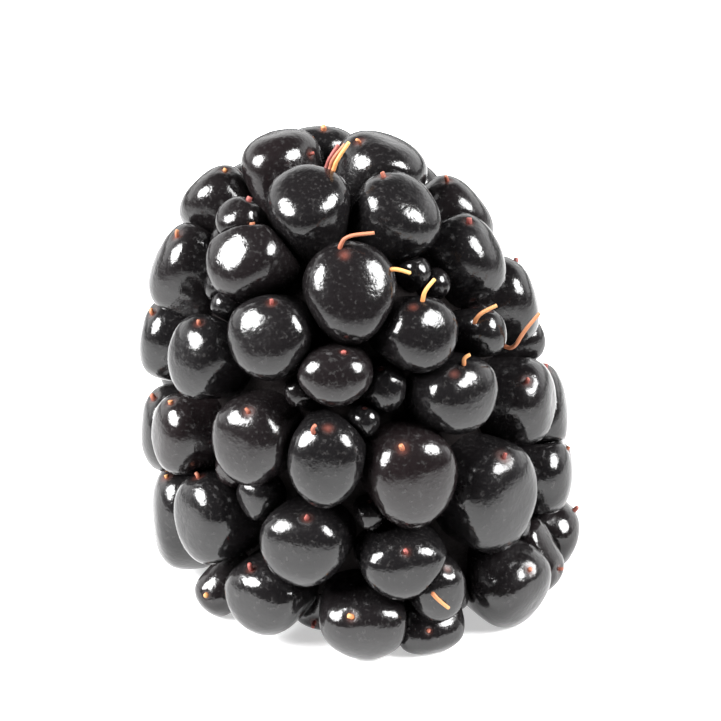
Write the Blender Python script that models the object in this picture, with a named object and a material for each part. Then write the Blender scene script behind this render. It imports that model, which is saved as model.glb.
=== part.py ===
"""A ripe bramble berry, picked clean and standing on its stem end.

The berry is an aggregate fruit: some eighty juicy drupelets grown together round a pale core, so it
is one solid. Sizes are in millimetres and the model is in metres, with +Z up and the surface it
stands on at z = 0. The face that looks along -Y is the near side.
"""
import math
import random

import bmesh
import bpy
import numpy as np
from mathutils import Matrix, Vector

MM = 0.001

# The shell is the smooth ovoid that the drupelets' centres sit on.
GIRTH_HEIGHT = 5.9  # height of the widest level
GIRTH_RADIUS = 9.4
CROWN_REACH = 16.7  # from the widest level up to the crown
CROWN_FULLNESS = 2.4  # 2 is an ellipse, more is squarer
FOOT_REACH = 5.2  # from the widest level down
FOOT_FULLNESS = 8.0
LEAN = math.tan(math.radians(6.5))  # the crown leans this much towards -X

FULL_WIDTH = 4.2  # a full-sized drupelet
WIDEST = 4.7
SWELL = 1.05  # ripe drupelets swell by this much, until they press on each other
REACH = 1.7  # from a drupelet's centre to its outer end
BLUNTNESS = 2.5  # of its outer end: 2 is an ellipsoid, more is flatter
TAPER = 0.12  # its upper end is this much wider than its middle, and its lower end narrower
ROOT_REACH = 3.6  # from its centre in to the core ...
ROOT_FULLNESS = 3.2  # ... with its sides kept this full on the way
BEDDING = 0.12  # how far the drupelets underneath are flattened where they rest

CORE_INSET = 1.5  # how deep the core's surface lies under the drupelets' centres
SCAR_RADIUS = 2.7  # the round scar left by the stem, in the middle of the underside
SCAR_HEIGHT = 1.0  # it sits this far above the surface that the berry stands on
SCAR_CLEARANCE = 4.9  # no drupelet's centre is nearer than this to the berry's middle below

# The near side, drupelet by drupelet from the crown down, and the two that peep out from behind it:
# bearing round the berry in degrees (0 is -Y, 90 is +X), height, width, length up the berry.
NEAR_SIDE = (
    (-130, 22.2, 4.3, 3.6), (-14, 22.1, 4.0, 4.4), (56, 21.4, 4.0, 4.4), (119, 22.0, 4.8, 4.5),
    (-108, 20.0, 3.4, 4.0), (-55, 21.0, 2.4, 2.4), (-42, 19.9, 4.0, 4.1), (9, 19.1, 4.4, 4.9),
    (109, 19.0, 3.8, 4.6), (-86, 17.5, 3.6, 4.7), (-24, 16.9, 4.2, 4.1), (32, 16.8, 3.8, 3.7),
    (79, 18.5, 3.6, 4.4), (-97, 12.7, 3.9, 4.3), (-53, 14.8, 3.6, 4.2), (-1, 15.4, 3.6, 2.9),
    (59, 15.7, 2.1, 2.4), (99, 14.7, 4.0, 4.6), (-31, 11.5, 4.0, 4.4), (40, 13.5, 4.3, 3.8),
    (105, 11.9, 2.4, 2.5), (-65, 9.8, 3.4, 4.1), (-7, 11.0, 3.7, 4.5), (19, 9.9, 4.4, 5.0),
    (73, 11.0, 4.1, 4.3), (92, 8.8, 4.6, 5.2), (47, 7.5, 4.9, 5.7), (-84, 3.5, 4.2, 5.8),
    (-53, 5.9, 4.0, 4.7), (-17, 6.2, 4.3, 4.1), (13, 5.2, 4.3, 3.4), (82, 6.1, 4.0, 4.3),
    (-56, 1.5, 2.3, 2.4), (-33, 2.6, 4.1, 3.8), (-1, 1.9, 4.5, 3.6), (22, 3.6, 2.8, 3.3),
    (19, 1.3, 3.6, 2.4), (51, 1.9, 4.5, 4.2), (90, 1.9, 3.8, 3.6), (-118, 9.6, 4.0, 4.2),
    (-176, 21.1, 4.0, 4.0),
)
NEAR_SIDE_EDGE = 0.5  # what lies further than this towards -Y ...
FOOT_RING_HEIGHT = 1.6  # ... and higher than this is the near side ...
CROWN_EDGE = 20.8  # ... and so is all of the crown above this

SPACING = 4.35  # between neighbours' centres on the far side and the underside
SPIRAL_POINTS = 240  # points tried over the whole shell
CROWDING = 0.7  # a point closer than this many spacings to another is left out
SETTLING_STEPS = 240
SEED = 11

SKIN_COLOUR = (0.011, 0.009, 0.011)
SKIN_ROUGHNESS = 0.18

RING_SEGMENTS = 28  # round each drupelet before fusing
GRAIN = 0.16  # cell size of the fused skin
FACES = 11000


class Drupelet:
    """One juicy bead: a blunt egg with its own outward, sideways and upward directions."""

    def __init__(self, centre, width, length):
        self.width = width * SWELL
        self.length = length * SWELL
        self.reach = REACH * 0.5 * (1 + width / FULL_WIDTH)
        self.outward = shell_normal(centre)
        self.sideways = Vector((0, 0, 1)).cross(self.outward).normalized()
        self.upward = self.outward.cross(self.sideways)
        self.centre = centre + self.outward * 0.5 * (REACH - self.reach)

    def lowest(self):
        """The height of the bead's lowest point."""
        half_axes = (self.sideways * self.width / 2, self.upward * self.length / 2,
                     self.outward * self.reach)
        return self.centre.z - Vector([axis.z for axis in half_axes]).length

    def skin_point(self, direction):
        """The skin's point for a direction whose z is outward, on a ball of radius 1."""
        inner = direction.z < 0
        fullness = ROOT_FULLNESS if inner else BLUNTNESS
        reach = ROOT_REACH if inner else self.reach
        across = math.hypot(direction.x, direction.y)
        size = (across ** fullness + abs(direction.z) ** fullness) ** (-1 / fullness)
        width = self.width * (1 + TAPER * direction.y)
        return (self.centre + self.sideways * direction.x * size * width / 2
                + self.upward * direction.y * size * self.length / 2
                + self.outward * direction.z * size * reach)


def shell_half(rise):
    """How far the shell reaches and how full it is, above the widest level or below it."""
    if rise > 0:
        return CROWN_REACH, CROWN_FULLNESS
    return FOOT_REACH, FOOT_FULLNESS


def shell_radius(height):
    rise = height - GIRTH_HEIGHT
    reach, fullness = shell_half(rise)
    level = min(abs(rise) / reach, 1.0)
    return GIRTH_RADIUS * (1 - level ** fullness) ** (1 / fullness)


def on_shell(point):
    """The point moved straight out from the middle of the berry until it is on the shell."""
    rise = point.z - GIRTH_HEIGHT
    reach, fullness = shell_half(rise)
    across = math.hypot(point.x, point.y)
    span = (across / GIRTH_RADIUS) ** fullness + (abs(rise) / reach) ** fullness
    stretch = span ** (-1 / fullness)
    return Vector((point.x * stretch, point.y * stretch, GIRTH_HEIGHT + rise * stretch))


def shell_normal(point):
    """The direction straight out of the shell at a point on it."""
    rise = point.z - GIRTH_HEIGHT
    reach, fullness = shell_half(rise)
    across = math.hypot(point.x, point.y)
    sideways = (across / GIRTH_RADIUS) ** (fullness - 1) / GIRTH_RADIUS
    steep = math.copysign((abs(rise) / reach) ** (fullness - 1) / reach, rise)
    bearing = Vector((point.x, point.y, 0)).normalized()
    return (bearing * sideways + Vector((0, 0, steep))).normalized()


def near_side():
    """The drupelets of the near side, where NEAR_SIDE puts them."""
    for bearing, height, width, length in NEAR_SIDE:
        turn = math.radians(bearing)
        radius = shell_radius(height)
        centre = Vector((radius * math.sin(turn), -radius * math.cos(turn), height))
        yield Drupelet(centre, width, length)


def spiral(count):
    """Points spread evenly over the whole shell."""
    golden = math.pi * (3 - math.sqrt(5))
    for step in range(count):
        level = 1 - (2 * step + 1) / count
        across = math.sqrt(1 - level * level)
        direction = Vector((across * math.cos(golden * step), across * math.sin(golden * step), level))
        yield on_shell(Vector((0, 0, GIRTH_HEIGHT)) + direction * GIRTH_RADIUS)


def is_over_scar(point):
    return point.z < GIRTH_HEIGHT and math.hypot(point.x, point.y) < SCAR_CLEARANCE


def is_near_side(point):
    return (point.y < -NEAR_SIDE_EDGE and point.z > FOOT_RING_HEIGHT) or point.z > CROWN_EDGE


def pushed_apart(fixed, loose):
    """The loose points, pushed over the shell until they fill the space that is left evenly."""
    for _ in range(SETTLING_STEPS):
        everyone = np.array([tuple(point) for point in fixed + loose])
        for index, point in enumerate(loose):
            apart = np.array(point) - everyone
            distance = np.linalg.norm(apart, axis=1)
            close = (distance > 1e-6) & (distance < 1.25 * SPACING)
            push = (apart[close] / distance[close, None] * (1.25 * SPACING - distance[close, None])).sum(0)
            moved = point + Vector(push) * 0.12
            if is_over_scar(moved):
                bearing = Vector((moved.x, moved.y, 0)).normalized()
                moved = Vector((0, 0, moved.z)) + bearing * SCAR_CLEARANCE
            loose[index] = on_shell(moved)
    return loose


def far_side(placed):
    """The drupelets of the far side and the underside, as wide as their neighbours let them be."""
    fixed = [drupelet.centre for drupelet in placed]
    loose = []
    for point in spiral(SPIRAL_POINTS):
        room = min((point - other).length for other in fixed + loose)
        if room > CROWDING * SPACING and not is_over_scar(point) and not is_near_side(point):
            loose.append(point)
    loose = pushed_apart(fixed, loose)
    dice = random.Random(SEED)
    for point in loose:
        gaps = sorted((point - other).length for other in fixed + loose)[1:4]
        width = min(sum(gaps) / len(gaps), WIDEST) * dice.uniform(0.97, 1.03)
        yield Drupelet(point, width, width * dice.uniform(0.97, 1.12))


def settled(drupelets):
    """Drupelets that would go through the surface underneath, raised until they rest on it."""
    for drupelet in drupelets:
        drupelet.centre.z += max(0.0, -BEDDING - drupelet.lowest())
    return drupelets


def lean(point):
    """The same point once the berry leans."""
    return Vector((point.x - LEAN * point.z, point.y, point.z))


def add_bead(mesh, drupelet):
    made = bmesh.ops.create_uvsphere(mesh, u_segments=RING_SEGMENTS, v_segments=RING_SEGMENTS // 2,
                                     radius=1)
    nudge = lean(drupelet.centre) - drupelet.centre
    for vertex in made["verts"]:
        vertex.co = (drupelet.skin_point(vertex.co) + nudge) * MM


def add_core(mesh):
    """The core that carries the drupelets, with the stem's scar as its flat underside."""
    made = bmesh.ops.create_uvsphere(mesh, u_segments=48, v_segments=32, radius=1)
    for vertex in made["verts"]:
        outer = on_shell(Vector((0, 0, GIRTH_HEIGHT)) + vertex.co)
        point = outer - shell_normal(outer) * CORE_INSET
        if is_over_scar(point):
            slope = max(0.0, math.hypot(point.x, point.y) - SCAR_RADIUS)
            point.z = min(point.z, SCAR_HEIGHT + slope)
        vertex.co = lean(point) * MM


def fused_skin(drupelets):
    """One closed skin over the core and every drupelet."""
    raw = bmesh.new()
    add_core(raw)
    for drupelet in drupelets:
        add_bead(raw, drupelet)
    data = bpy.data.meshes.new("berry")
    raw.to_mesh(data)
    raw.free()
    berry = bpy.data.objects.new("berry", data)
    bpy.context.collection.objects.link(berry)
    fuse = berry.modifiers.new("fuse", "REMESH")
    fuse.mode = "VOXEL"
    fuse.voxel_size = GRAIN * MM
    fuse.adaptivity = 0.0
    thin = berry.modifiers.new("thin", "DECIMATE")
    thin.ratio = FACES / (2 * len(evaluated_mesh(berry).polygons))
    thin.use_collapse_triangulate = True
    return berry


def evaluated_mesh(thing):
    return thing.evaluated_get(bpy.context.evaluated_depsgraph_get()).data


def add_bed():
    """The block under the surface that the berry stands on, which trims its lowest drupelets."""
    mesh = bmesh.new()
    bmesh.ops.create_cube(mesh, size=1, matrix=Matrix.Diagonal((0.05, 0.05, 0.01, 1)))
    data = bpy.data.meshes.new("bed")
    mesh.to_mesh(data)
    mesh.free()
    bed = bpy.data.objects.new("bed", data)
    bpy.context.collection.objects.link(bed)
    bed.location.z = -0.005
    bed.display_type = "WIRE"
    bed.hide_render = True
    return bed


def rest_on(berry, bed):
    trim = berry.modifiers.new("trim", "BOOLEAN")
    trim.operation = "DIFFERENCE"
    trim.solver = "EXACT"
    trim.object = bed


def centre_over_origin(berry):
    """Stand the middle of the berry's outline over the origin."""
    data = evaluated_mesh(berry)
    for axis in (0, 1):
        places = [vertex.co[axis] for vertex in data.vertices]
        berry.location[axis] = -(min(places) + max(places)) / 2


def skin_material():
    material = bpy.data.materials.new("berry_skin")
    material.use_nodes = True
    shader = material.node_tree.nodes["Principled BSDF"]
    shader.inputs["Base Color"].default_value = (*SKIN_COLOUR, 1)
    shader.inputs["Roughness"].default_value = SKIN_ROUGHNESS
    shader.inputs["Metallic"].default_value = 0.0
    return material


def clear_scene():
    for thing in list(bpy.data.objects):
        bpy.data.objects.remove(thing, do_unlink=True)


def main():
    clear_scene()
    placed = list(near_side())
    placed.extend(far_side(placed))
    berry = fused_skin(settled(placed))
    rest_on(berry, add_bed())
    centre_over_origin(berry)
    berry.data.materials.append(skin_material())
    berry.data.shade_smooth()
    print(len(placed), "drupelets,", len(evaluated_mesh(berry).polygons), "faces")


main()
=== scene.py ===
# %% [markdown]
# # A ripe bramble berry
# The berry is an aggregate fruit. Each small juicy bead is a drupelet with a seed of its own, and
# some eighty of them grow together round a pale core. This lesson makes each drupelet as its own
# mesh, lets neighbours press on each other, and finishes them with a thin glossy skin and a
# withered style.
#
# The frame is the berry's measured solid. Everything here is laid out in millimetres and then
# stood in the box that the solid fills.

# %% Load the frame
import math
import random

import bmesh
import bpy
import numpy as np
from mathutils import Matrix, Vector, noise


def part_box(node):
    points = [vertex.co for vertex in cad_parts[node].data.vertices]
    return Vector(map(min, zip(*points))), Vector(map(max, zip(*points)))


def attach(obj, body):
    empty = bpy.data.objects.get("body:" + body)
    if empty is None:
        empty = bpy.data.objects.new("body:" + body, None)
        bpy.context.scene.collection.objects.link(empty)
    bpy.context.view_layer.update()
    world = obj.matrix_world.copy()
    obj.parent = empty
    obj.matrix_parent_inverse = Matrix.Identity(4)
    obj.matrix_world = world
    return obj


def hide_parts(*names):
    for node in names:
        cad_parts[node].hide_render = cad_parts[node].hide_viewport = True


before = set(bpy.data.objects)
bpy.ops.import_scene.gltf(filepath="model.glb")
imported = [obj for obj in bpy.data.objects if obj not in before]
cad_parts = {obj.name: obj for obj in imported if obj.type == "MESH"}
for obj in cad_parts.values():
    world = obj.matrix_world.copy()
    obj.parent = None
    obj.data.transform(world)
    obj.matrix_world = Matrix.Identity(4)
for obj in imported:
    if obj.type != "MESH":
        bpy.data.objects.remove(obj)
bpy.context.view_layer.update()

MM = 0.001  # in metres
SOLID = "berry"
low, high = (Vector(corner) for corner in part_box(SOLID))
print("the solid's box in mm:", [round(side / MM, 2) for side in high - low])

# %% [markdown]
# ## Shader maths as plain expressions
# Blender writes shader maths as a web of small Math nodes, which is hard to read. Here a small
# class wraps a socket and overloads the arithmetic operators, so that `1 - mask * 0.3` adds its
# own nodes. Any other kind of node comes from one method, `Graph.node`, which sets the node's
# options before it fills its sockets.

# %% A socket that can be added, subtracted and multiplied
class Value:
    """A number or colour that changes over a surface."""

    def __init__(self, graph, socket):
        self.graph = graph
        self.socket = socket

    def maths(self, operation, first, second):
        return self.graph.node("ShaderNodeMath", {"operation": operation}, {0: first, 1: second})

    def __add__(self, other):
        return self.maths("ADD", self, other)

    def __radd__(self, other):
        return self.maths("ADD", other, self)

    def __sub__(self, other):
        return self.maths("SUBTRACT", self, other)

    def __rsub__(self, other):
        return self.maths("SUBTRACT", other, self)

    def __mul__(self, other):
        return self.maths("MULTIPLY", self, other)

    def __rmul__(self, other):
        return self.maths("MULTIPLY", other, self)


print("sockets can be added, subtracted and multiplied")

# %% [markdown]
# A graph adds nodes to a node tree and links them. It also knows the few patterns that this berry
# needs again and again: two colours mixed by a mask, clouds of noise, a number that the mesh
# carries, a smooth ramp, and a bump.

# %% A graph of nodes
class Graph:
    """The nodes of a material or of the world."""

    def __init__(self, tree):
        self.tree = tree

    def feed(self, socket, value):
        """Link a value to a socket, or set the socket to a number or a colour."""
        if isinstance(value, Value):
            self.tree.links.new(value.socket, socket)
        elif socket.type == "RGBA":
            socket.default_value = (*value[:3], 1)
        else:
            socket.default_value = value

    def node(self, kind, options=None, sockets=None, out=0):
        """Add a node: options first, then the values or links of its sockets."""
        made = self.tree.nodes.new(kind)
        for name, value in (options or {}).items():
            setattr(made, name, value)
        for name, value in (sockets or {}).items():
            self.feed(made.inputs[name], value)
        return Value(self, made.outputs[out])

    def mix(self, mask, first, second):
        """The first colour where the mask is 0, the second where it is 1."""
        return self.node("ShaderNodeMix", {"data_type": "RGBA"},
                         {0: mask, 6: first, 7: second}, out=2)

    def noise(self, scale, detail=3.0):
        """Clouds in the object's own space: `scale` of them in a metre."""
        place = self.node("ShaderNodeTexCoord", out="Object")
        return self.node("ShaderNodeTexNoise", None,
                         {"Vector": place, "Scale": scale, "Detail": detail})

    def number(self, attribute):
        """A number that the mesh carries on its vertices."""
        return self.node("ShaderNodeAttribute", {"attribute_name": attribute}, out="Fac")

    def ramp(self, value, start, end):
        """0 up to the start, 1 from the end on, and smooth between them."""
        return self.node("ShaderNodeMapRange", {"interpolation_type": "SMOOTHSTEP"},
                         {"Value": value, "From Min": start, "From Max": end})

    def bump(self, height, strength, distance):
        """A relief of this height, in parts of a distance in metres."""
        return self.node("ShaderNodeBump", None,
                         {"Strength": strength, "Distance": distance, "Height": height})


print("a graph can mix colours, make clouds, read numbers, ramp and bump")

# %% [markdown]
# A finish is a graph that belongs to a material and ends in its Principled shader. What is the
# same all over a surface, such as how strongly it refracts, is given when the finish is made. What
# changes over it comes last, as expressions.

# %% The finish of a material
class Finish(Graph):
    """A material whose nodes feed one Principled shader."""

    def __init__(self, name, **settings):
        self.material = bpy.data.materials.new(name)
        self.material.use_nodes = True
        super().__init__(self.material.node_tree)
        self.shade(**settings)

    def shade(self, **sockets):
        """Feed the shader's sockets, and give back the finished material."""
        shader = self.tree.nodes["Principled BSDF"]
        for name, value in sockets.items():
            self.feed(shader.inputs[name.replace("_", " ")], value)
        return self.material


print("a finish can be made")

# %% [markdown]
# ## The shell that the drupelets sit on
# A bramble berry's outline is a blunt egg, widest low down. A superellipse gives such an egg with
# a few numbers: how far it reaches up and down from its widest level, and how full its shoulders
# are. All of the drupelets' places are worked out on this shell, with its axis upright. The
# berry's slight lean comes last, as a shear, so that its foot stays level.

# %% The shell
GIRTH_HEIGHT = 5.9  # the level where it is widest
GIRTH_RADIUS = 9.4
CROWN_REACH, CROWN_FULLNESS = 16.7, 2.4  # up from there
FOOT_REACH, FOOT_FULLNESS = 5.2, 8.0  # down from there: the fuller, the squarer
MIDDLE = Vector((0, 0, GIRTH_HEIGHT))


def shell_half(rise):
    """The reach and the fullness of the half that is above or below the widest level."""
    return (CROWN_REACH, CROWN_FULLNESS) if rise > 0 else (FOOT_REACH, FOOT_FULLNESS)


def shell_radius(height):
    """How far the shell is from the axis."""
    rise = height - GIRTH_HEIGHT
    reach, fullness = shell_half(rise)
    return GIRTH_RADIUS * (1 - min(abs(rise) / reach, 1.0) ** fullness) ** (1 / fullness)


def on_shell(point):
    """The point moved straight out from the middle of the berry until it is on the shell."""
    rise = point.z - GIRTH_HEIGHT
    reach, fullness = shell_half(rise)
    across = math.hypot(point.x, point.y)
    span = (across / GIRTH_RADIUS) ** fullness + (abs(rise) / reach) ** fullness
    stretch = span ** (-1 / fullness)
    return Vector((point.x * stretch, point.y * stretch, GIRTH_HEIGHT + rise * stretch))


print("the shell is", 2 * GIRTH_RADIUS, "mm wide at a height of", GIRTH_HEIGHT, "mm")

# %% [markdown]
# A drupelet grows straight out from the shell, so the shell has to know its outward direction at
# every point. For a superellipse, that direction comes from the same formula as the outline does.

# %% Straight out from the shell
def shell_normal(point):
    """The outward direction at a point of the shell."""
    rise = point.z - GIRTH_HEIGHT
    reach, fullness = shell_half(rise)
    across = math.hypot(point.x, point.y)
    sideways = (across / GIRTH_RADIUS) ** (fullness - 1) / GIRTH_RADIUS
    steep = math.copysign((abs(rise) / reach) ** (fullness - 1) / reach, rise)
    bearing = Vector((point.x, point.y, 0)).normalized()
    return (bearing * sideways + Vector((0, 0, steep))).normalized()


girth_point = Vector((GIRTH_RADIUS, 0, GIRTH_HEIGHT))
print("at the widest level, straight out is", shell_normal(girth_point)[:])

# %% [markdown]
# ## The shape of one drupelet
# A drupelet that grew alone would be a blunt egg: a flattish dome outside, and a root that keeps
# its width on the way in to the core. It could be a scaled ball, but a ball has neither the flat
# dome nor the root. Instead, its skin is measured from its middle in every direction with a
# superellipsoid, and each bead keeps its own outward, sideways and upward directions for this.

# %% The free drupelet
FULL_WIDTH = 4.2
SWELL = 1.05  # ripe drupelets swell by this much, until they press on each other
DOME_REACH, DOME_FULLNESS = 1.7, 2.5  # outwards from the shell
ROOT_REACH, ROOT_FULLNESS = 3.6, 3.2  # inwards
TAPER = 0.12  # its upper end is this much wider than its middle, and its lower end narrower


class Drupelet:
    """One juicy bead, with its centre on the shell."""

    def __init__(self, centre, width, length):
        self.width = width * SWELL
        self.length = length * SWELL
        self.reach = DOME_REACH * (1 + width / FULL_WIDTH) / 2
        self.outward = shell_normal(centre)
        self.sideways = Vector((0, 0, 1)).cross(self.outward).normalized()
        self.upward = self.outward.cross(self.sideways)
        self.centre = centre + self.outward * ((DOME_REACH - self.reach) / 2)

    def directions(self):
        """The bead's own directions as rows: sideways, upward, outward."""
        return np.array([self.sideways, self.upward, self.outward])

    def half_axes(self):
        return np.array([self.width / 2, self.length / 2, self.reach])

    def half_size(self):
        """Half of the box that the bead's dome fills, along X, Y and Z."""
        return np.linalg.norm(self.directions() * self.half_axes()[:, None], axis=0)

    def free_distance(self, directions):
        """How far the free bead's skin is from its centre in each direction."""
        sideways, upward, outward = (directions @ self.directions().T / self.half_axes()).T
        inner = outward < 0
        outward = np.where(inner, outward * self.reach / ROOT_REACH, outward)
        fullness = np.where(inner, ROOT_FULLNESS, DOME_FULLNESS)
        across = np.hypot(sideways, outward)
        sideways = sideways / (1 + TAPER * upward / np.hypot(upward, across))
        girth = np.hypot(sideways, upward) ** fullness
        return (girth + np.abs(outward) ** fullness) ** (-1 / fullness)


print("a full drupelet is", round(FULL_WIDTH * SWELL, 2), "mm wide")

# %% [markdown]
# ## Where the drupelets are
# Drupelets grow in loose rows, each resting in the dip between two below, but pollination is
# uneven, so some stay small and some are squeezed flat. The near side is placed bead by bead,
# which is how a particular berry gets its own look.

# %% The near side, bead by bead
NEAR_SIDE = (
    (-130, 22.2, 4.3, 3.6), (-14, 22.1, 4.0, 4.4), (56, 21.4, 4.0, 4.4), (119, 22.0, 4.8, 4.5),
    (-108, 20.0, 3.4, 4.0), (-55, 21.0, 2.4, 2.4), (-42, 19.9, 4.0, 4.1), (9, 19.1, 4.4, 4.9),
    (109, 19.0, 3.8, 4.6), (-86, 17.5, 3.6, 4.7), (-24, 16.9, 4.2, 4.1), (32, 16.8, 3.8, 3.7),
    (79, 18.5, 3.6, 4.4), (-97, 12.7, 3.9, 4.3), (-53, 14.8, 3.6, 4.2), (-1, 15.4, 3.6, 2.9),
    (59, 15.7, 2.1, 2.4), (99, 14.7, 4.0, 4.6), (-31, 11.5, 4.0, 4.4), (40, 13.5, 4.3, 3.8),
    (105, 11.9, 2.4, 2.5), (-65, 9.8, 3.4, 4.1), (-7, 11.0, 3.7, 4.5), (19, 9.9, 4.4, 5.0),
    (73, 11.0, 4.1, 4.3), (92, 8.8, 4.6, 5.2), (47, 7.5, 4.9, 5.7), (-84, 3.5, 4.2, 5.8),
    (-53, 5.9, 4.0, 4.7), (-17, 6.2, 4.3, 4.1), (13, 5.2, 4.3, 3.4), (82, 6.1, 4.0, 4.3),
    (-56, 1.5, 2.3, 2.4), (-33, 2.6, 4.1, 3.8), (-1, 1.9, 4.5, 3.6), (22, 3.6, 2.8, 3.3),
    (19, 1.3, 3.6, 2.4), (51, 1.9, 4.5, 4.2), (90, 1.9, 3.8, 3.6), (-118, 9.6, 4.0, 4.2),
    (-176, 21.1, 4.0, 4.0),
)  # bearing in degrees (0 is -Y, 90 is +X), height, width, length up the berry


def shell_place(bearing, height):
    """The shell's point at a bearing and a height."""
    turn = math.radians(bearing)
    radius = shell_radius(height)
    return Vector((radius * math.sin(turn), -radius * math.cos(turn), height))


drupelets = [Drupelet(shell_place(bearing, height), width, length)
             for bearing, height, width, length in NEAR_SIDE]
print(len(drupelets), "drupelets placed by hand")

# %% [markdown]
# ## The far side and the underside
# These need no such care, only the same even crowding. The spiral below may not fill two regions:
# the near side, which is listed bead by bead, and the middle of the underside, which stays free
# for the scar of the stem.

# %% Where no loose drupelet goes
SCAR_CLEARANCE = 4.9  # the scar keeps drupelets this far from the axis
NEAR_SIDE_EDGE = 0.5  # the near side begins here, in front of the middle
FOOT_RING_HEIGHT = 1.6  # but the ring that the berry rests on is left to the spiral
CROWN_EDGE = 20.8  # above this, all of them are listed one by one


def is_over_scar(point):
    """Whether a point is under the berry and too near its axis."""
    return point.z < GIRTH_HEIGHT and math.hypot(point.x, point.y) < SCAR_CLEARANCE


def is_near_side(point):
    """Whether a point is where the drupelets are listed one by one."""
    return (point.y < -NEAR_SIDE_EDGE and point.z > FOOT_RING_HEIGHT) or point.z > CROWN_EDGE


print("the scar keeps a circle", 2 * SCAR_CLEARANCE, "mm wide free")

# %% [markdown]
# Each step of the spiral goes round by the golden angle and down by the same share of the ball's
# height, which spreads its points evenly. Random points would leave clumps and holes. A point is
# kept where there is room for a drupelet.

# %% Points with room around them
SPACING = 4.35  # between the middles of two neighbours
CROWDING = 0.7  # the part of the spacing that a point needs to be kept
SPIRAL_POINTS = 240


def spiral(count):
    """Points spread evenly over the whole shell."""
    golden = math.pi * (3 - math.sqrt(5))
    for step in range(count):
        level = 1 - (2 * step + 1) / count
        across = math.sqrt(1 - level * level)
        turn = golden * step
        direction = Vector((across * math.cos(turn), across * math.sin(turn), level))
        yield on_shell(MIDDLE + direction * GIRTH_RADIUS)


fixed = [drupelet.centre for drupelet in drupelets]
loose = []
for point in spiral(SPIRAL_POINTS):
    room = min((point - other).length for other in fixed + loose)
    if room > CROWDING * SPACING and not is_over_scar(point) and not is_near_side(point):
        loose.append(point)
print(len(loose), "places left on the far side and underneath")

# %% [markdown]
# The spiral alone leaves seams where it meets the near side. Pushing each loose point away from
# those that are too close, a little at a time and always back onto the shell, evens them out. The
# near side is held still.

# %% Push them apart
SETTLING_STEPS = 240
PUSHING_RANGE = 1.25 * SPACING
PUSH = 0.12  # the part of the missing room that a point moves in one step


def pushed_apart(fixed, loose):
    """The loose points, each with as much room as the others."""
    for _ in range(SETTLING_STEPS):
        everyone = np.array([tuple(point) for point in fixed + loose])
        for index, point in enumerate(loose):
            apart = np.array(point) - everyone
            distance = np.linalg.norm(apart, axis=1)[:, None]
            close = (distance[:, 0] > 0) & (distance[:, 0] < PUSHING_RANGE)
            away = apart[close] / distance[close]
            push = (away * (PUSHING_RANGE - distance[close])).sum(0)
            moved = point + Vector(push) * PUSH
            if is_over_scar(moved):
                bearing = Vector((moved.x, moved.y, 0)).normalized()
                moved = Vector((0, 0, moved.z)) + bearing * SCAR_CLEARANCE
            loose[index] = on_shell(moved)
    return loose


loose = pushed_apart(fixed, loose)
print("the loose points settled in", SETTLING_STEPS, "steps")

# %% [markdown]
# A loose bead is as wide as the gaps to its nearest neighbours, give or take a little. The dice
# are seeded, so the berry is the same each time.

# %% Give each the width that its neighbours leave
NEAREST = 3  # the neighbours that a drupelet's width depends on, after the drupelet itself
WIDEST = 4.7
WIDTH_SPREAD = 0.97, 1.03
LENGTH_SPREAD = 0.97, 1.12  # in parts of the width
dice = random.Random(11)
for point in loose:
    gaps = sorted((point - other).length for other in fixed + loose)[1:NEAREST + 1]
    width = min(sum(gaps) / len(gaps), WIDEST) * dice.uniform(*WIDTH_SPREAD)
    drupelets.append(Drupelet(point, width, width * dice.uniform(*LENGTH_SPREAD)))
print(len(drupelets), "full drupelets in all")

# %% [markdown]
# ## Drupelets that never filled
# Where pollen was short, a drupelet stays tiny and sits low between the others. Such beads close
# the gaps where bare core would show. Many points are tried, and the one with the most room gets
# the next bead, until no gap is wide enough.

# %% Small beads low in the gaps
GAP_POINTS = 1500
LEAST_ROOM = 0.7  # a smaller gap stays empty
SUNK = 1.5  # how much lower than the others they sit
SMALL_LENGTH = 1.1  # in parts of their width


def room_at(point):
    """From a point on the shell to the side of the nearest drupelet."""
    return min((point - drupelet.centre).length - (drupelet.width + drupelet.length) / 4
               for drupelet in drupelets)


full_drupelets = len(drupelets)
gap_points = [point for point in spiral(GAP_POINTS) if not is_over_scar(point)]
widest_gap = max(gap_points, key=room_at)
while room_at(widest_gap) > LEAST_ROOM:
    width = 2 * room_at(widest_gap)
    centre = widest_gap - shell_normal(widest_gap) * SUNK
    drupelets.append(Drupelet(centre, width, width * SMALL_LENGTH))
    widest_gap = max(gap_points, key=room_at)
print(len(drupelets) - full_drupelets, "small drupelets in the gaps")

# %% [markdown]
# ## Standing the berry up
# The berry rests on its lowest drupelets, so those that would go through the surface are raised
# until they are only bedded on it. Then the whole berry leans a little to one side, and moves
# sideways until it stands in the middle of the solid's box.

# %% Rest, lean and centre
BEDDING = 0.12  # how much of the lowest drupelets is pressed flat where they rest
LEAN_ANGLE = 6.5  # in degrees
LEAN = math.tan(math.radians(LEAN_ANGLE))


def lean(point):
    """The point moved to the left by as much as its height asks for."""
    return Vector((point.x - LEAN * point.z, point.y, point.z))


for drupelet in drupelets:
    lowest = drupelet.centre.z - drupelet.half_size()[2]
    drupelet.centre.z += max(0.0, -BEDDING - lowest)
    drupelet.centre = lean(drupelet.centre)

centres = np.array([drupelet.centre for drupelet in drupelets])
halves = np.array([drupelet.half_size() for drupelet in drupelets])
outline_middle = ((centres - halves).min(0) + (centres + halves).max(0)) / 2
shift = (low + high) / 2 / MM - Vector(outline_middle)
shift.z = 0
for drupelet in drupelets:
    drupelet.centre += shift
print("moved by", [round(part, 2) for part in shift], "mm to stand in the solid's box")

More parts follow.
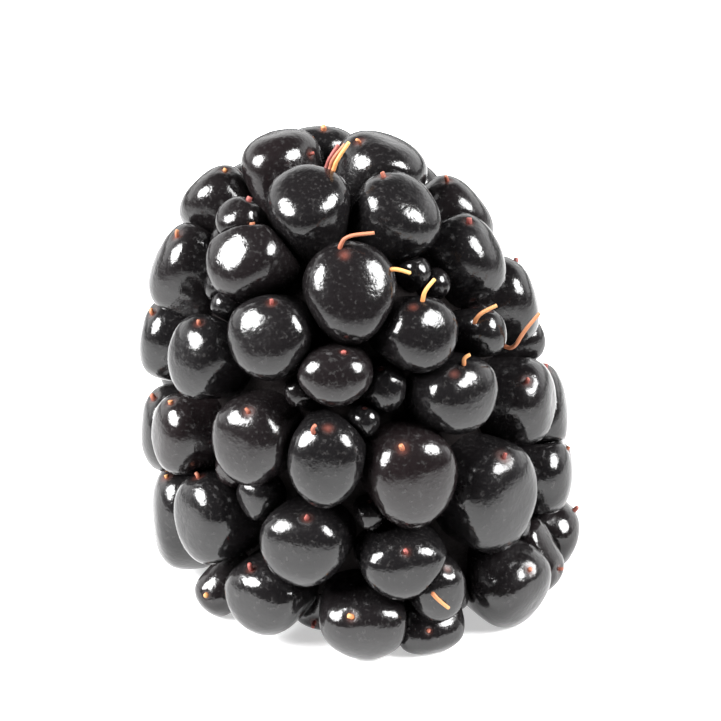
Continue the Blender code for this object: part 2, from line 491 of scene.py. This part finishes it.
# %% [markdown]
# ## Press marks
# A ripe drupelet swells until it presses on its neighbours, so its sides go flat where they
# touch. Boolean cuts would leave sharp rims there. Instead, each direction from the bead's centre
# gets two kinds of distance: how far the free bead reaches, and how far each neighbour's side
# lets it. A soft minimum of those distances leaves rounded press marks, and a seam of shadow
# between the beads.

# %% How far a pressed skin reaches
PRESS_HARDNESS = 16  # more gives sharper rims round the press marks
SEAM = 0.03  # the gap between two skins that press on each other
NEIGHBOURHOOD = 7  # drupelets whose middles are farther apart never touch


def neighbours(drupelet):
    return [other for other in drupelets
            if other is not drupelet and (other.centre - drupelet.centre).length < NEIGHBOURHOOD]


def pressed_distance(drupelet, directions):
    """How far the skin is from its centre in each direction, with its neighbours in place."""
    tightness = drupelet.free_distance(directions) ** -PRESS_HARDNESS
    for other in neighbours(drupelet):
        between = np.array(other.centre - drupelet.centre)
        gap = np.linalg.norm(between)
        toward = between / gap
        own = drupelet.free_distance(toward[None])[0]
        theirs = other.free_distance(-toward[None])[0]
        if own + theirs > gap:
            room = gap * own / (own + theirs) - SEAM / 2
            tightness += (np.clip(directions @ toward, 0, None) / room) ** PRESS_HARDNESS
    return tightness ** (-1 / PRESS_HARDNESS)


print("the first drupelet has", len(neighbours(drupelets[0])), "neighbours to press on")

# %% [markdown]
# ## Where each style was
# The style is the thread that caught the pollen. It withers on the upper part of the drupelet's
# dome, in a shallow dimple with a reddish stain. The dimple, the stain and the withered thread
# all need the same spot, so each drupelet is given its direction now, a little different on every
# one.

# %% The style's direction on every drupelet
STYLE_TILT, STYLE_TILT_SPREAD = 62, 8  # degrees from straight out towards the crown
STYLE_SIDE_SPREAD = 14
RARITY = 3  # the higher, the fewer drupelets are red and the fewer stubs are dry
style_dice = random.Random(23)
for drupelet in drupelets:
    tilt = math.radians(style_dice.gauss(STYLE_TILT, STYLE_TILT_SPREAD))
    aside = math.radians(style_dice.gauss(0, STYLE_SIDE_SPREAD))
    upward = drupelet.upward * math.cos(aside) + drupelet.sideways * math.sin(aside)
    drupelet.style = (drupelet.outward * math.cos(tilt) + upward * math.sin(tilt)).normalized()
    drupelet.redness = style_dice.random() ** RARITY
reddest = max(drupelet.redness for drupelet in drupelets)
print("the reddest drupelet has a redness of", round(reddest, 2))

# %% [markdown]
# ## The skins
# Each skin starts as a finely divided ball, and every vertex will move along its own direction to
# where the pressed skin is. A ball made of rings would crowd its vertices at two poles. One that
# is divided from an icosahedron has nearly equal faces all over, so its reflections run evenly.

# %% The ball that every skin starts from
SKIN_DETAIL = 5  # how many times its faces are divided
ball = bmesh.new()
bmesh.ops.create_icosphere(ball, subdivisions=SKIN_DETAIL, radius=1)
BALL = np.array([vertex.co[:] for vertex in ball.verts])
BALL_FACES = [[vertex.index for vertex in face.verts] for face in ball.faces]
ball.free()
print("each skin has", len(BALL_FACES), "faces")

# %% [markdown]
# Slow swells, different on each bead, keep the reflections from looking machined. The mesh also
# carries two numbers for its finish: how near a vertex is to the style, and how red the bead still
# is.

# %% The skin's points
UNEVENNESS = 0.016  # in parts of the distance from the middle
HILL_SCALE, RIPPLE_SCALE = 1.6, 4  # on a ball of radius 1
RIPPLE_PART = 0.35
VARIETY = 3.7  # takes each drupelet to a place of its own in the noise
DIMPLE_DEPTH, DIMPLE_WIDTH = 0.10, 0.17  # in mm, and in radians round the bead


def unevenness(drupelet, directions):
    """A factor near 1 for each direction."""
    place = drupelet.centre * VARIETY
    hills = [noise.noise(spot * HILL_SCALE + place)
             + RIPPLE_PART * noise.noise(spot * RIPPLE_SCALE + place)
             for spot in map(Vector, directions)]
    return 1 + UNEVENNESS * np.array(hills)


def skin_points(drupelet, directions):
    """The skin's points in every direction, in mm, and how near each one is to the style."""
    distance = pressed_distance(drupelet, directions) * unevenness(drupelet, directions)
    angle = np.arccos(np.clip(directions @ np.array(drupelet.style), -1, 1))
    near_style = np.exp(-(angle / DIMPLE_WIDTH) ** 2)
    distance = distance - DIMPLE_DEPTH * near_style
    points = np.array(drupelet.centre) + directions * distance[:, None]
    points[:, 2] = np.maximum(points[:, 2], 0)
    return points, near_style


print("a dimple is", DIMPLE_DEPTH, "mm deep")

# %% [markdown]
# ## The skin's finish
# A ripe drupelet is almost black with a trace of wine red, and its thin skin is as glossy as wet
# paint. What the eye sees is mostly reflections: the lamps above and the white table below. So
# the colour stays very dark, a fairly sharp gloss carries the shine, and a faint relief breaks it
# up. The skin is drier and dull round the style.

# %% The finish of the drupelets
RIPE_BLACK = 0.0050, 0.0049, 0.0052
WINE_BLACK = 0.0074, 0.0050, 0.0053
PORE_GREY = 0.020, 0.019, 0.019
STAIN_RED = 0.12, 0.03, 0.02
CLOUDS, GRAIN = 420, 5200  # of them in a metre
PORES = 0.52, 0.75  # the grain turns into a pore between these
SKIN_ROUGHNESS, CLOUD_ROUGHNESS, DRY_ROUGHNESS = 0.11, 0.10, 0.25
RELIEF = 0.03 * MM


def skin_material():
    finish = Finish("berry_skin", IOR=1.5)
    clouds = finish.noise(CLOUDS)
    grain = finish.noise(GRAIN, 2.0)
    near_style = finish.number("near_style")
    unripe = finish.number("redness") * 0.7 + clouds * 0.3
    body = finish.mix(unripe, RIPE_BLACK, WINE_BLACK)
    speckled = finish.mix(finish.ramp(grain, *PORES), body, PORE_GREY)
    stain = near_style * near_style * near_style * 0.7
    roughness = SKIN_ROUGHNESS + clouds * CLOUD_ROUGHNESS + near_style * DRY_ROUGHNESS
    return finish.shade(Base_Color=finish.mix(stain, speckled, STAIN_RED),
                        Roughness=roughness,
                        Normal=finish.bump(clouds * 3 + grain * 1.5, 0.35, RELIEF))


berry_skin = skin_material()
print("the skin's finish has", len(berry_skin.node_tree.nodes), "nodes")

# %% [markdown]
# ## Meshes and pieces
# A mesh can be built from plain lists of points and faces, which keeps its vertices in a known
# order, so that the numbers for the finish land on the right ones. Every piece of the berry comes
# from these two helpers, in millimetres.

# %% A mesh, and a piece made of it
def mesh_from(name, points, faces, **numbers):
    """A smooth mesh from points in mm, with numbers on its vertices for the finish."""
    data = bpy.data.meshes.new(name)
    data.from_pydata((np.array(points) * MM).tolist(), [], faces)
    for number, values in numbers.items():
        data.attributes.new(number, "FLOAT", "POINT").data.foreach_set("value", list(values))
    data.shade_smooth()
    return data


def add_piece(name, data, material):
    """A mesh in its finish, as a piece of the berry."""
    piece = bpy.data.objects.new(name, data)
    bpy.context.collection.objects.link(piece)
    data.materials.append(material)
    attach(piece, "root")
    return piece


print("meshes are laid out in units of", MM, "m")

# %% [markdown]
# The points, the faces and the finish are all there, so each drupelet can become a mesh object of
# its own.

# %% Build the drupelets
for number, drupelet in enumerate(drupelets, 1):
    name = f"drupelet_{number:02d}"
    points, near_style = skin_points(drupelet, BALL)
    redness = [drupelet.redness] * len(BALL)
    skin = mesh_from(name, points, BALL_FACES, near_style=near_style, redness=redness)
    add_piece(name, skin, berry_skin)
print(len(drupelets), "drupelets made")

# %% [markdown]
# ## The withered styles
# A style is a soft thread while the flower is open. Afterwards it dries from the tip down, so the
# foot stays wine red and the tip goes straw yellow. Most break off to a stub. A few keep their
# full length and lie bent over the next drupelet. They could be curves with a bevel, but a mesh
# of tapered tubes can carry numbers for the colour, and all of them then share one piece. Their
# lines have a few points each, and cutting the corners off again and again rounds them.

# %% A line with rounded corners
CORNER_CUT = 0.25  # the part of each step that is cut off at both ends


def rounded(line, rounds=3):
    """The line with its corners cut again and again, which leaves the two ends where they are."""
    for _ in range(rounds):
        cut = [line[0]]
        for first, second in zip(line, line[1:]):
            cut += [first.lerp(second, CORNER_CUT), first.lerp(second, 1 - CORNER_CUT)]
        line = cut + [line[-1]]
    return line


print("each round of cutting nearly doubles a line's points")

# %% [markdown]
# A tube is a ring of points for each point of its line, square to the line there. Each ring takes
# over the sideways direction of the ring before it, so that bends don't twist the tube.

# %% Tapered tubes
TUBE_SIDES = 8
TUBE_TAPER = 0.7  # below 1, most of the taper is near the foot


class Tubes:
    """Thin tubes that taper from foot to tip, gathered into one mesh."""

    def __init__(self):
        self.points, self.faces, self.along, self.dryness = [], [], [], []

    def add(self, line, foot, tip, dryness):
        """A tube along a line, with the radius of its foot and of its tip."""
        first = len(self.points)
        side = (line[1] - line[0]).orthogonal()
        for index, centre in enumerate(line):
            part = index / (len(line) - 1)
            before, after = line[max(index - 1, 0)], line[min(index + 1, len(line) - 1)]
            tangent = (after - before).normalized()
            side = (side - tangent * side.dot(tangent)).normalized()
            other = tangent.cross(side)
            radius = foot + (tip - foot) * part ** TUBE_TAPER
            for step in range(TUBE_SIDES):
                turn = 2 * math.pi * step / TUBE_SIDES
                spoke = side * math.cos(turn) + other * math.sin(turn)
                self.points.append(centre + spoke * radius)
            self.along += [part] * TUBE_SIDES
            self.dryness += [dryness] * TUBE_SIDES
        self.close(first, len(line))

    def close(self, first, rings):
        """The faces between the rings, and a cap on each end."""
        for start in range(first, first + (rings - 1) * TUBE_SIDES, TUBE_SIDES):
            for step in range(TUBE_SIDES):
                after = (step + 1) % TUBE_SIDES
                self.faces.append((start + step, start + after, start + after + TUBE_SIDES,
                                   start + step + TUBE_SIDES))
        last = len(self.points) - TUBE_SIDES
        self.faces.append(tuple(range(first + TUBE_SIDES - 1, first - 1, -1)))
        self.faces.append(tuple(range(last, last + TUBE_SIDES)))


styles = Tubes()
print("each tube has", TUBE_SIDES, "sides")

# %% [markdown]
# The styles that catch the eye are listed one by one. Each grows from a drupelet, in a direction
# that leans sideways and upward from straight out, and then follows a few steps to the right,
# back and up.

# %% The long styles, one by one
FOOT_RADIUS, TIP_RADIUS = 0.14, 0.09
ROOT_DEPTH = 0.15  # how deep the foot of a style is in the skin
FOOT_RISE = 0.05  # how far it stands up before its first step
LONG_STYLES = (  # drupelet, lean sideways, lean up, dryness, then steps to the right, back, up
    (1, 0.6, 1.8, 0.0, (0.15, 0.0, 0.5), (0.6, 0.1, 1.2)),
    (1, 0.8, 1.8, 0.2, (0.1, 0.0, 0.5), (0.75, 0.1, 1.3)),
    (1, 1.0, 1.8, 0.8, (0.15, 0.0, 0.5), (0.8, 0.1, 1.5)),
    (7, -0.45, 2.0, 0.2, (0.3, 0.0, 0.65), (1.7, -0.1, 0.85)),
    (7, 2.0, 0.9, 1.0, (0.4, -0.1, 0.05), (0.95, 0.0, -0.2)),
    (11, 0.1, 1.9, 1.0, (0.1, 0.0, 0.55), (0.6, 0.1, 1.15)),
    (16, -2.2, 2.4, 0.5, (0.25, -0.2, 0.6), (1.1, -0.1, 1.0)),
    (16, 1.0, -1.6, 0.3, (0.6, -0.3, -0.1), (1.1, -0.3, 0.9), (1.9, -0.2, 1.9)),
    (19, 0.0, 1.8, 0.6, (0.0, -0.1, 0.4), (0.3, -0.1, 0.6)),
    (22, -0.5, 1.9, 0.1, (-0.05, -0.15, 0.3), (0.1, -0.25, 0.55)),
    (35, -0.55, 0.4, 0.5, (0.35, -0.15, -0.35), (0.8, -0.05, -0.8)),
)


def skin_spot(drupelet, direction):
    """The skin's point in one direction."""
    return Vector(skin_points(drupelet, np.array(direction)[None])[0][0])


for number, sideways, upward, dryness, *steps in LONG_STYLES:
    drupelet = drupelets[number]
    leaning = drupelet.outward + drupelet.sideways * sideways + drupelet.upward * upward
    direction = leaning.normalized()
    foot = skin_spot(drupelet, direction)
    line = [foot - direction * ROOT_DEPTH, foot + direction * FOOT_RISE]
    line += [foot + Vector(step) for step in steps]
    styles.add(rounded(line), FOOT_RADIUS, TIP_RADIUS, dryness)
print(len(LONG_STYLES), "long styles")

# %% [markdown]
# The other full drupelets keep a short stub, no longer than it is thick. Every stub is a little
# different in length, thickness and bend, or the berry would look like a pincushion. The small
# ones in the gaps have lost theirs.

# %% A stub on every other full drupelet
STUB_LENGTH, STUB_SPREAD = 0.24, 0.08
SHORTEST_STUB = 0.12
STUB_RADIUS = 0.15
STUB_RADIUS_SPREAD = 0.7, 1.15
STUB_TIP = 0.75  # its tip's radius, in parts of its foot's
BEND_UP, BEND_ASIDE = 0.9, 0.6  # the most that it bends up, and the spread of its side bends
STRAIGHTNESS = 0.4  # the part of its upper half that goes straight on
DRIEST_STUB = 0.6
with_long_style = {number for number, *_ in LONG_STYLES}
for number, drupelet in enumerate(drupelets[:full_drupelets]):
    if number in with_long_style:
        continue
    half = max(SHORTEST_STUB, style_dice.gauss(STUB_LENGTH, STUB_SPREAD)) / 2
    foot = skin_spot(drupelet, drupelet.style)
    bend = drupelet.upward * style_dice.uniform(0, BEND_UP)
    bend += drupelet.sideways * style_dice.gauss(0, BEND_ASIDE)
    middle = foot + drupelet.style * half
    tip = middle + (drupelet.style * STRAIGHTNESS + bend) * half
    radius = STUB_RADIUS * style_dice.uniform(*STUB_RADIUS_SPREAD)
    dryness = style_dice.random() ** RARITY * DRIEST_STUB
    line = [foot - drupelet.style * ROOT_DEPTH, middle, tip]
    styles.add(rounded(line, rounds=2), radius, radius * STUB_TIP, dryness)
print(len(styles.faces), "faces in the styles")

# %% [markdown]
# A style is dull and fibrous. Its colour runs from foot to tip, from dark to dusty red on the
# fresh ones and from red brown to straw yellow on the dried ones, so two mixes along the tube are
# mixed once more by how dry it is.

# %% The finish of the styles
FRESH_FOOT, FRESH_TIP = (0.10, 0.013, 0.011), (0.27, 0.070, 0.058)
DRIED_FOOT, DRIED_TIP = (0.42, 0.09, 0.03), (0.80, 0.46, 0.14)
STYLE_FIBRES = 9000  # in a metre
STYLE_ROUGHNESS, FIBRE_ROUGHNESS = 0.4, 0.3


def style_material():
    finish = Finish("withered_style", IOR=1.45)
    along = finish.number("along")
    fibres = finish.noise(STYLE_FIBRES, 2.0)
    fresh = finish.mix(along, FRESH_FOOT, FRESH_TIP)
    dried = finish.mix(along, DRIED_FOOT, DRIED_TIP)
    return finish.shade(Base_Color=finish.mix(finish.number("dryness"), fresh, dried),
                        Roughness=STYLE_ROUGHNESS + fibres * FIBRE_ROUGHNESS,
                        Normal=finish.bump(fibres, 0.5, RELIEF))


style_mesh = mesh_from("withered_styles", styles.points, styles.faces,
                       along=styles.along, dryness=styles.dryness)
add_piece("withered_styles", style_mesh, style_material())
print("styles dressed")

# %% [markdown]
# ## The core and the stem's scar
# The drupelets sit on the receptacle, the swollen end of the stem. Almost all of it is hidden,
# but its surface closes the gaps between the beads, and it is painted nearly black: partly juice
# stain, partly painted shade. Underneath, where the berry was twisted off its stem, it ends in a
# round scar: pale green pith, a ring of torn fibre bundles that fed the berry, and a brown dried
# edge. The scar could be painted on, but a real relief catches the light, so each place on it
# gets its own height.

# %% The scar's surface
SCAR_RADIUS, SCAR_HEIGHT = 2.7, 1.0
SCAR_HOLLOW, SCAR_RAGGEDNESS = 0.35, 0.12
SCAR_FADE = 1.5  # in radii: the scar's finish ends here
TEARS = 2.5  # how closely the ragged edge goes in and out
TEARS_INWARD = 0.4  # how much of that also goes on towards the middle
BUNDLES, BUNDLE_HEIGHT = 17, 0.14  # torn bundles of fibres
BUNDLE_RING, RING_WIDTH, RING_WAVER = 0.62, 0.12, 0.06  # in parts of the scar's radius
BUNDLE_SPREAD = 2  # how unevenly they stand round the ring


def scar_surface(point):
    """The scar's height at a place, how much of it is scar, and how much is a fibre bundle."""
    bearing = math.atan2(point.y, point.x)
    across = math.hypot(point.x, point.y)
    part = across / SCAR_RADIUS
    place = Vector((math.cos(bearing), math.sin(bearing), TEARS_INWARD * across))
    ragged = noise.noise(place * TEARS)
    ring = math.exp(-((part - BUNDLE_RING - RING_WAVER * ragged) / RING_WIDTH) ** 2)
    bundle = ring * max(0.0, math.cos(BUNDLES * bearing + BUNDLE_SPREAD * ragged))
    edge = max(0.0, across - SCAR_RADIUS)
    hollow = SCAR_HOLLOW * max(0.0, 1 - part ** 2)
    height = SCAR_HEIGHT + edge + hollow + SCAR_RAGGEDNESS * ragged - BUNDLE_HEIGHT * bundle
    return height, min(1.0, max(0.0, SCAR_FADE - part)), bundle


print("the scar is", 2 * SCAR_RADIUS, "mm wide, with", BUNDLES, "bundles of fibres")

# %% [markdown]
# The core is a ball pulled onto the shell and drawn in, with its lowest part brought down to a
# plug. This ball is made of rings, because one of its poles is the middle of the scar, where the
# vertices should be close. They carry how much they belong to the scar and to the bundles, for
# the finish.

# %% The core's mesh
CORE_SEGMENTS = 144
CORE_INSET = 1.5  # how deep it is under the shell


def core_point(direction):
    """The core's point for a direction from the middle, then its parts of scar and bundle."""
    outer = on_shell(MIDDLE + direction)
    point = outer - shell_normal(outer) * CORE_INSET
    if not is_over_scar(point):
        return point, 0.0, 0.0
    height, scar, bundle = scar_surface(point)
    point.z = min(point.z, height)
    return point, scar, bundle


core_ball = bmesh.new()
bmesh.ops.create_uvsphere(core_ball, u_segments=CORE_SEGMENTS, v_segments=CORE_SEGMENTS, radius=1)
core_points, scar, bundle = zip(*(core_point(vertex.co) for vertex in core_ball.verts))
core_faces = [[vertex.index for vertex in face.verts] for face in core_ball.faces]
core_ball.free()
print(sum(amount > 0.5 for amount in scar), "vertices of the core are scar")

# %% [markdown]
# The flesh of the core is painted nearly black, partly juice stain and partly painted shade, and
# it barely shines, so the gaps between the beads look deep. The scar is dull and pale, and noise
# breaks up the line where its dried brown edge begins.

# %% The core's finish
# the flesh's near black is partly juice stain and partly painted shade for the gaps between the
# beads
FLESH_JUICE_AND_SHADE_DARK, FLESH_JUICE_AND_SHADE_PALE = (0.003, 0.0026, 0.0026), (0.009, 0.007, 0.007)
PITH_DARK, PITH_PALE = (0.20, 0.19, 0.10), (0.40, 0.39, 0.25)
TORN_FIBRE = 0.50, 0.42, 0.24
DRIED_EDGE = 0.055, 0.026, 0.012
FLESH_CLOUDS, PITH_FIBRES = 900, 2600  # in a metre
EDGE_START, PITH_START = (0.30, 0.50), (0.62, 0.85)  # in parts of the way into the scar
FLESH_ROUGHNESS, SCAR_ROUGHNESS = 0.65, 0.2  # the scar's is added to the flesh's
ROUGH_START = 0.3, 0.6  # in parts of the way into the scar
CORE_RELIEF = 0.12 * MM


def core_material():
    finish = Finish("core_flesh", IOR=1.12)
    clouds = finish.noise(FLESH_CLOUDS)
    fibres = finish.noise(PITH_FIBRES, 5.0)
    scar = finish.number("scar")
    bundle = finish.number("bundle")
    # painted shade over a juice stain, so the gaps between the beads look deep
    flesh = finish.mix(clouds, FLESH_JUICE_AND_SHADE_DARK, FLESH_JUICE_AND_SHADE_PALE)
    pith = finish.mix(fibres, PITH_DARK, PITH_PALE)
    torn = finish.mix(bundle, pith, TORN_FIBRE)
    edge = finish.mix(finish.ramp(scar, *EDGE_START), flesh, DRIED_EDGE)
    inside = finish.ramp(scar + fibres * 0.25, *PITH_START)
    roughness = FLESH_ROUGHNESS + finish.ramp(scar, *ROUGH_START) * SCAR_ROUGHNESS
    return finish.shade(Base_Color=finish.mix(inside, edge, torn),
                        Roughness=roughness,
                        Normal=finish.bump(clouds + fibres * 1.5, 0.8, CORE_RELIEF))


core_flesh = core_material()
print("the core's finish has", len(core_flesh.node_tree.nodes), "nodes")

# %% [markdown]
# The core leans with the drupelets, and takes the place of the whole measured solid, because it is
# the one piece that joins them all.

# %% Fit the core
leaning_points = [lean(point) + shift for point in core_points]
core_mesh = mesh_from("core", leaning_points, core_faces, scar=scar, bundle=bundle)
core = add_piece("core", core_mesh, core_flesh)
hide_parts(SOLID)
print("the core takes the solid's place")

# %% [markdown]
# ## The table and the lamps
# Glossy black fruit shows the room more than itself. It stands on a white table, which fills the
# lower half of each bead with grey. Two oval soft boxes stand left and right, a little above the
# berry, and give each bead its two white spots. A pale sheet behind the table puts a thin rim of
# light along the upper outlines, and the rest of the room is dark.

# %% The table
TABLE_REACH = 3  # in metres, each way from the berry
TABLE_WHITE = 0.85
REFLECTED_GLOW = 0.9
TABLE_FADE = -0.1, 0.2  # over this distance from the berry, it fades from the reflections
SEEN_GLOW, FAR_GLOW = 0.5, 0.6  # what the camera sees, and how much more where no lamp reaches
TABLE_GLOW = 0.03, 0.2  # over this distance from the berry, the second one comes in


def studio_table():
    """A white sheet under the berry that glows a little by itself."""
    mesh = bmesh.new()
    bmesh.ops.create_grid(mesh, x_segments=1, y_segments=1, size=TABLE_REACH)
    data = bpy.data.meshes.new("table")
    mesh.to_mesh(data)
    mesh.free()
    table = bpy.data.objects.new("table", data)
    bpy.context.collection.objects.link(table)
    finish = Finish("white_table", Roughness=0.9, Emission_Strength=1)
    place = finish.node("ShaderNodeTexCoord", out="Object")
    distance = finish.node("ShaderNodeVectorMath", {"operation": "LENGTH"}, {0: place},
                           out="Value")
    seen = finish.node("ShaderNodeLightPath", out="Is Camera Ray")
    reflected = (1 - seen) * (1 - finish.ramp(distance, *TABLE_FADE))
    glow = SEEN_GLOW + finish.ramp(distance, *TABLE_GLOW) * FAR_GLOW
    white = finish.shade(Base_Color=(seen + reflected) * TABLE_WHITE,
                         Emission_Color=seen * glow + reflected * REFLECTED_GLOW)
    data.materials.append(white)


studio_table()
print("the table is staged")

# %% [markdown]
# Lamps and camera all face the middle of the berry from some way off, so one helper finds the
# place and another turns the thing to the berry.

# %% Places round the berry
heart = (low + high) / 2  # of the berry


def aimed(thing, place):
    """Put a lamp or a camera in its place, turned to the berry's heart."""
    thing.location = place
    thing.rotation_euler = (heart - place).to_track_quat("-Z", "Y").to_euler()
    bpy.context.collection.objects.link(thing)


def around(azimuth, elevation, distance):
    """A place that the berry is seen from: azimuth 0 is the -Y side and 90 the +X side."""
    turn, rise = math.radians(azimuth), math.radians(elevation)
    level = math.cos(rise) * distance
    above = math.sin(rise) * distance
    return heart + Vector((level * math.sin(turn), -level * math.cos(turn), above))


print("everything is aimed at", [round(part / MM, 1) for part in heart], "mm")

# %% [markdown]
# An area light is a soft box: its shape is what the glossy skin mirrors. Both are ellipses,
# because the spots on the beads are oval, and the left one is larger and stronger.

# %% The soft boxes
LAMP_DISTANCE = 0.5


def softbox(name, azimuth, elevation, width, height, watts):
    """An oval lamp that shines on the berry from there."""
    light = bpy.data.lights.new(name, "AREA")
    light.shape = "ELLIPSE"
    light.size = width
    light.size_y = height
    light.energy = watts
    aimed(bpy.data.objects.new(name, light), around(azimuth, elevation, LAMP_DISTANCE))
    print(name, "is", width, "m wide")


softbox("left_softbox", azimuth=-75, elevation=35, width=0.38, height=0.35, watts=12)
softbox("right_softbox", azimuth=74, elevation=38, width=0.32, height=0.30, watts=7.5)

# %% [markdown]
# The camera should see a plain white room, but black fruit that mirrored it would turn grey. So
# the world is white for the camera's own rays only. For the reflections it is dark, with the pale
# sheet low down behind the berry.

# %% The room
ROOM_GLOW, SHEET_GLOW = 0.02, 2.0
SHEET_SIDES = -0.1, 0.5  # it comes in as a direction turns to the back
SHEET_TOP = 0.3, 0.7  # and goes out as it rises
WHITE = 1, 1, 1
world = bpy.data.worlds.new("room")
bpy.context.scene.world = world
world.use_nodes = True
room = Graph(world.node_tree)
direction = room.node("ShaderNodeTexCoord", out="Generated")
backward = room.node("ShaderNodeSeparateXYZ", None, {"Vector": direction}, out="Y")
upward = room.node("ShaderNodeSeparateXYZ", None, {"Vector": direction}, out="Z")
sheet = room.ramp(backward, *SHEET_SIDES) * (1 - room.ramp(upward, *SHEET_TOP))
brightness = ROOM_GLOW + sheet * SHEET_GLOW
seen = room.node("ShaderNodeLightPath", out="Is Camera Ray")
backdrop = world.node_tree.nodes["Background"]
room.feed(backdrop.inputs["Color"], WHITE)
room.feed(backdrop.inputs["Strength"], brightness + seen * (1 - brightness))
print("the room is lit")

# %% [markdown]
# ## The camera
# A small fruit is best seen with a long lens from a short way off, looking down at the angle of
# someone who sits at the table.

# %% The camera
CAMERA_DISTANCE = 0.26
CAMERA_ELEVATION = 27
FRAME_HEIGHT = 0.037  # the height of the view at the berry's distance
SENSOR_WIDTH = 36  # in millimetres
lens = bpy.data.cameras.new("camera")
lens.sensor_width = SENSOR_WIDTH
lens.lens = SENSOR_WIDTH * CAMERA_DISTANCE / FRAME_HEIGHT
lens.clip_start, lens.clip_end = 0.01, 10  # in metres
camera = bpy.data.objects.new("camera", lens)
aimed(camera, around(0, CAMERA_ELEVATION, CAMERA_DISTANCE))
bpy.context.scene.camera = camera
bpy.context.scene.view_settings.view_transform = "Standard"
print("the lens is", round(lens.lens), "mm")
